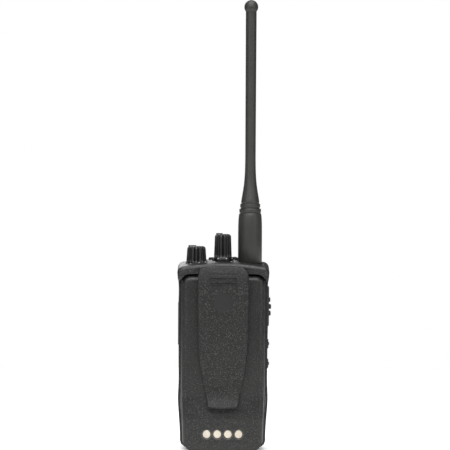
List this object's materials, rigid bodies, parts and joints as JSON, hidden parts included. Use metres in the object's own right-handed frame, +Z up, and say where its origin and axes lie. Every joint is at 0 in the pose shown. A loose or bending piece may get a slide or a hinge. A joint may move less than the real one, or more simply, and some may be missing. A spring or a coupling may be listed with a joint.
{
  "type": "two way radio",
  "caption": "Handheld two way radio with a long whip antenna, two top knobs, side push-to-talk key, slide-on battery and sprung belt clip.",
  "frame": {"origin": "centre of the flat base that the radio stands on", "axes": "+Z up through the antenna; the speaker side faces -Y, the battery and belt clip face +Y, the push-to-talk side faces -X and the accessory sockets face +X"},
  "size_m": [0.0623, 0.0454, 0.2988],
  "materials": {
    "housing_plastic": "fine moulded texture",
    "battery_plastic": "fine moulded texture",
    "clip_plastic": "fine moulded texture",
    "antenna_rubber": "smooth matte",
    "knob_plastic": "gloss",
    "button_rubber": "satin",
    "cover_rubber": "satin",
    "badge_plastic": "satin",
    "lens_plastic": "frosted",
    "grille_cloth": "woven",
    "foam": "soft",
    "cone_paper": "pressed paper",
    "speaker_steel": "zinc plated",
    "magnet": "plated",
    "silicone": "matte",
    "circuit_board": "solder mask",
    "shield_steel": "tin plated",
    "screw_steel": "zinc plated",
    "chassis_aluminium": "die cast",
    "contact_gold": "gold plated",
    "charging_gold": "gold plated",
    "nylon": "moulded",
    "brass": "turned",
    "shaft_steel": "turned",
    "cell_can": "sleeved",
    "latch_plastic": "satin",
    "disc_plastic": "satin",
    "spring_steel": "bright"
  },
  "bodies": {
    "radio": {"front_housing": "housing_plastic", "front_badge": "badge_plastic", "led_lens": "lens_plastic", "speaker_grille_cloth": "grille_cloth", "speaker_gasket": "foam", "speaker_frame": "speaker_steel", "speaker_magnet": "magnet", "microphone_boot": "silicone", "microphone": "speaker_steel", "ptt_switch": "nylon", "side_switches": "nylon", "side_control_board": "circuit_board", "accessory_cover_pin": "shaft_steel", "speaker_jack": "nylon", "microphone_jack": "nylon", "main_circuit_board": "circuit_board", "rf_shield_can": "shield_steel", "audio_shield_can": "shield_steel", "board_screws": "screw_steel", "main_seal": "silicone", "rear_chassis": "chassis_aluminium", "chassis_screws": "screw_steel", "radio_contact_block": "nylon", "radio_contacts": "contact_gold", "volume_switch_body": "shaft_steel", "channel_switch_body": "shaft_steel", "control_nuts": "brass", "control_seals": "silicone", "antenna_bushing": "brass", "antenna_stud": "brass", "antenna_whip": "antenna_rubber"},
    "speaker_diaphragm": {"speaker_cone": "cone_paper"},
    "push_to_talk": {"ptt_button": "button_rubber", "ptt_switch_plunger": "nylon"},
    "upper_side_button": {"side_button_upper": "button_rubber"},
    "lower_side_button": {"side_button_lower": "button_rubber"},
    "socket_cover": {"accessory_cover": "cover_rubber"},
    "volume_control": {"volume_shaft": "shaft_steel", "volume_knob": "knob_plastic"},
    "channel_selector": {"channel_shaft": "shaft_steel", "channel_knob": "knob_plastic"},
    "battery": {"battery_case": "battery_plastic", "battery_inner_cover": "battery_plastic", "battery_terminals": "contact_gold", "battery_cells": "cell_can", "battery_board": "circuit_board", "charging_contacts": "charging_gold", "clip_base": "clip_plastic", "clip_pin": "shaft_steel", "clip_spring": "spring_steel"},
    "latch": {"battery_latch": "latch_plastic"},
    "clip": {"clip_lever": "clip_plastic", "clip_disc": "disc_plastic"}
  },
  "joints": [
    {"name": "speaker_cone_travel", "type": "slide", "parent": "radio", "child": "speaker_diaphragm", "axis": [0, -1, 0], "range_m": [-0.0003, 0.0003], "stiffness_N_per_m": 200},
    {"name": "ptt_press", "type": "slide", "parent": "radio", "child": "push_to_talk", "axis": [1, 0, 0], "range_m": [0, 0.0008], "stiffness_N_per_m": 2500, "springref_m": -0.0006},
    {"name": "upper_side_button_press", "type": "slide", "parent": "radio", "child": "upper_side_button", "axis": [1, 0, 0], "range_m": [0, 0.0006], "stiffness_N_per_m": 2500, "springref_m": -0.0004},
    {"name": "lower_side_button_press", "type": "slide", "parent": "radio", "child": "lower_side_button", "axis": [1, 0, 0], "range_m": [0, 0.0006], "stiffness_N_per_m": 2500, "springref_m": -0.0004},
    {"name": "socket_cover_swing", "type": "hinge", "parent": "radio", "child": "socket_cover", "pos_m": [0.0289, -0.00845, 0.0838], "axis": [0, 0, -1], "range_deg": [0, 100]},
    {"name": "volume_turn", "type": "hinge", "parent": "radio", "child": "volume_control", "pos_m": [0.018, -0.0015, 0.1234], "axis": [0, 0, -1], "range_deg": [0, 285]},
    {"name": "channel_turn", "type": "hinge", "parent": "radio", "child": "channel_selector", "pos_m": [0.0004, -0.0015, 0.1234], "axis": [0, 0, -1], "range_deg": [0, 337.5]},
    {"name": "battery_slide", "type": "slide", "parent": "radio", "child": "battery", "axis": [0, 0, -1], "range_m": [0, 0.0127]},
    {"name": "battery_latch_slide", "type": "slide", "parent": "battery", "child": "latch", "axis": [0, -1, 0], "range_m": [0, 0.0022]},
    {"name": "clip_open", "type": "hinge", "parent": "battery", "child": "clip", "pos_m": [0, 0.0215, 0.103], "axis": [1, 0, 0], "range_deg": [0, 16], "stiffness_Nm_per_rad": 0.4, "springref_deg": -20.05}
  ]
}
